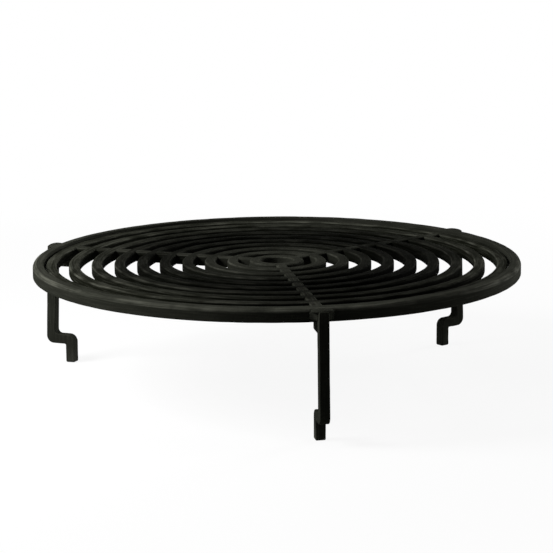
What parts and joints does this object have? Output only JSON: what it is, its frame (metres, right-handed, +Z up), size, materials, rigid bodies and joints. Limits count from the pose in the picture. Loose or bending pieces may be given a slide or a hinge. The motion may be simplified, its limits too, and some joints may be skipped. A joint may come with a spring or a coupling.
{
  "type": "grill grate",
  "caption": "Round grill grate on cranked legs: a loose grid of concentric bars lies in a rim, and the legs' stubs drop inside a fire bowl's opening.",
  "frame": {"origin": "on the common axis of rim and grid, level with the feet", "axes": "+Z up along the axis; the front leg points to compass angle -75 degrees from +X, so that the three legs' box is centred on the axis"},
  "size_m": [0.5063, 0.5063, 0.129],
  "materials": {
    "frame_paint": "matt heat-resistant black",
    "grid_paint": "matt heat-resistant black"
  },
  "bodies": {
    "frame": {"rim": "frame_paint", "leg_front": "frame_paint", "leg_right": "frame_paint", "leg_left": "frame_paint", "rest_front": "frame_paint", "rest_right": "frame_paint", "rest_left": "frame_paint"},
    "grid": {"ring_01": "grid_paint", "ring_02": "grid_paint", "ring_03": "grid_paint", "ring_04": "grid_paint", "ring_05": "grid_paint", "ring_06": "grid_paint", "ring_07": "grid_paint", "ring_08": "grid_paint", "ring_09": "grid_paint", "ring_10": "grid_paint", "spoke_front": "grid_paint", "spoke_right": "grid_paint", "spoke_left": "grid_paint"}
  },
  "joints": [
    {"name": "grid_lift", "type": "slide", "parent": "frame", "child": "grid", "axis": [0, 0, 1], "range_m": [0, 0.12]}
  ]
}
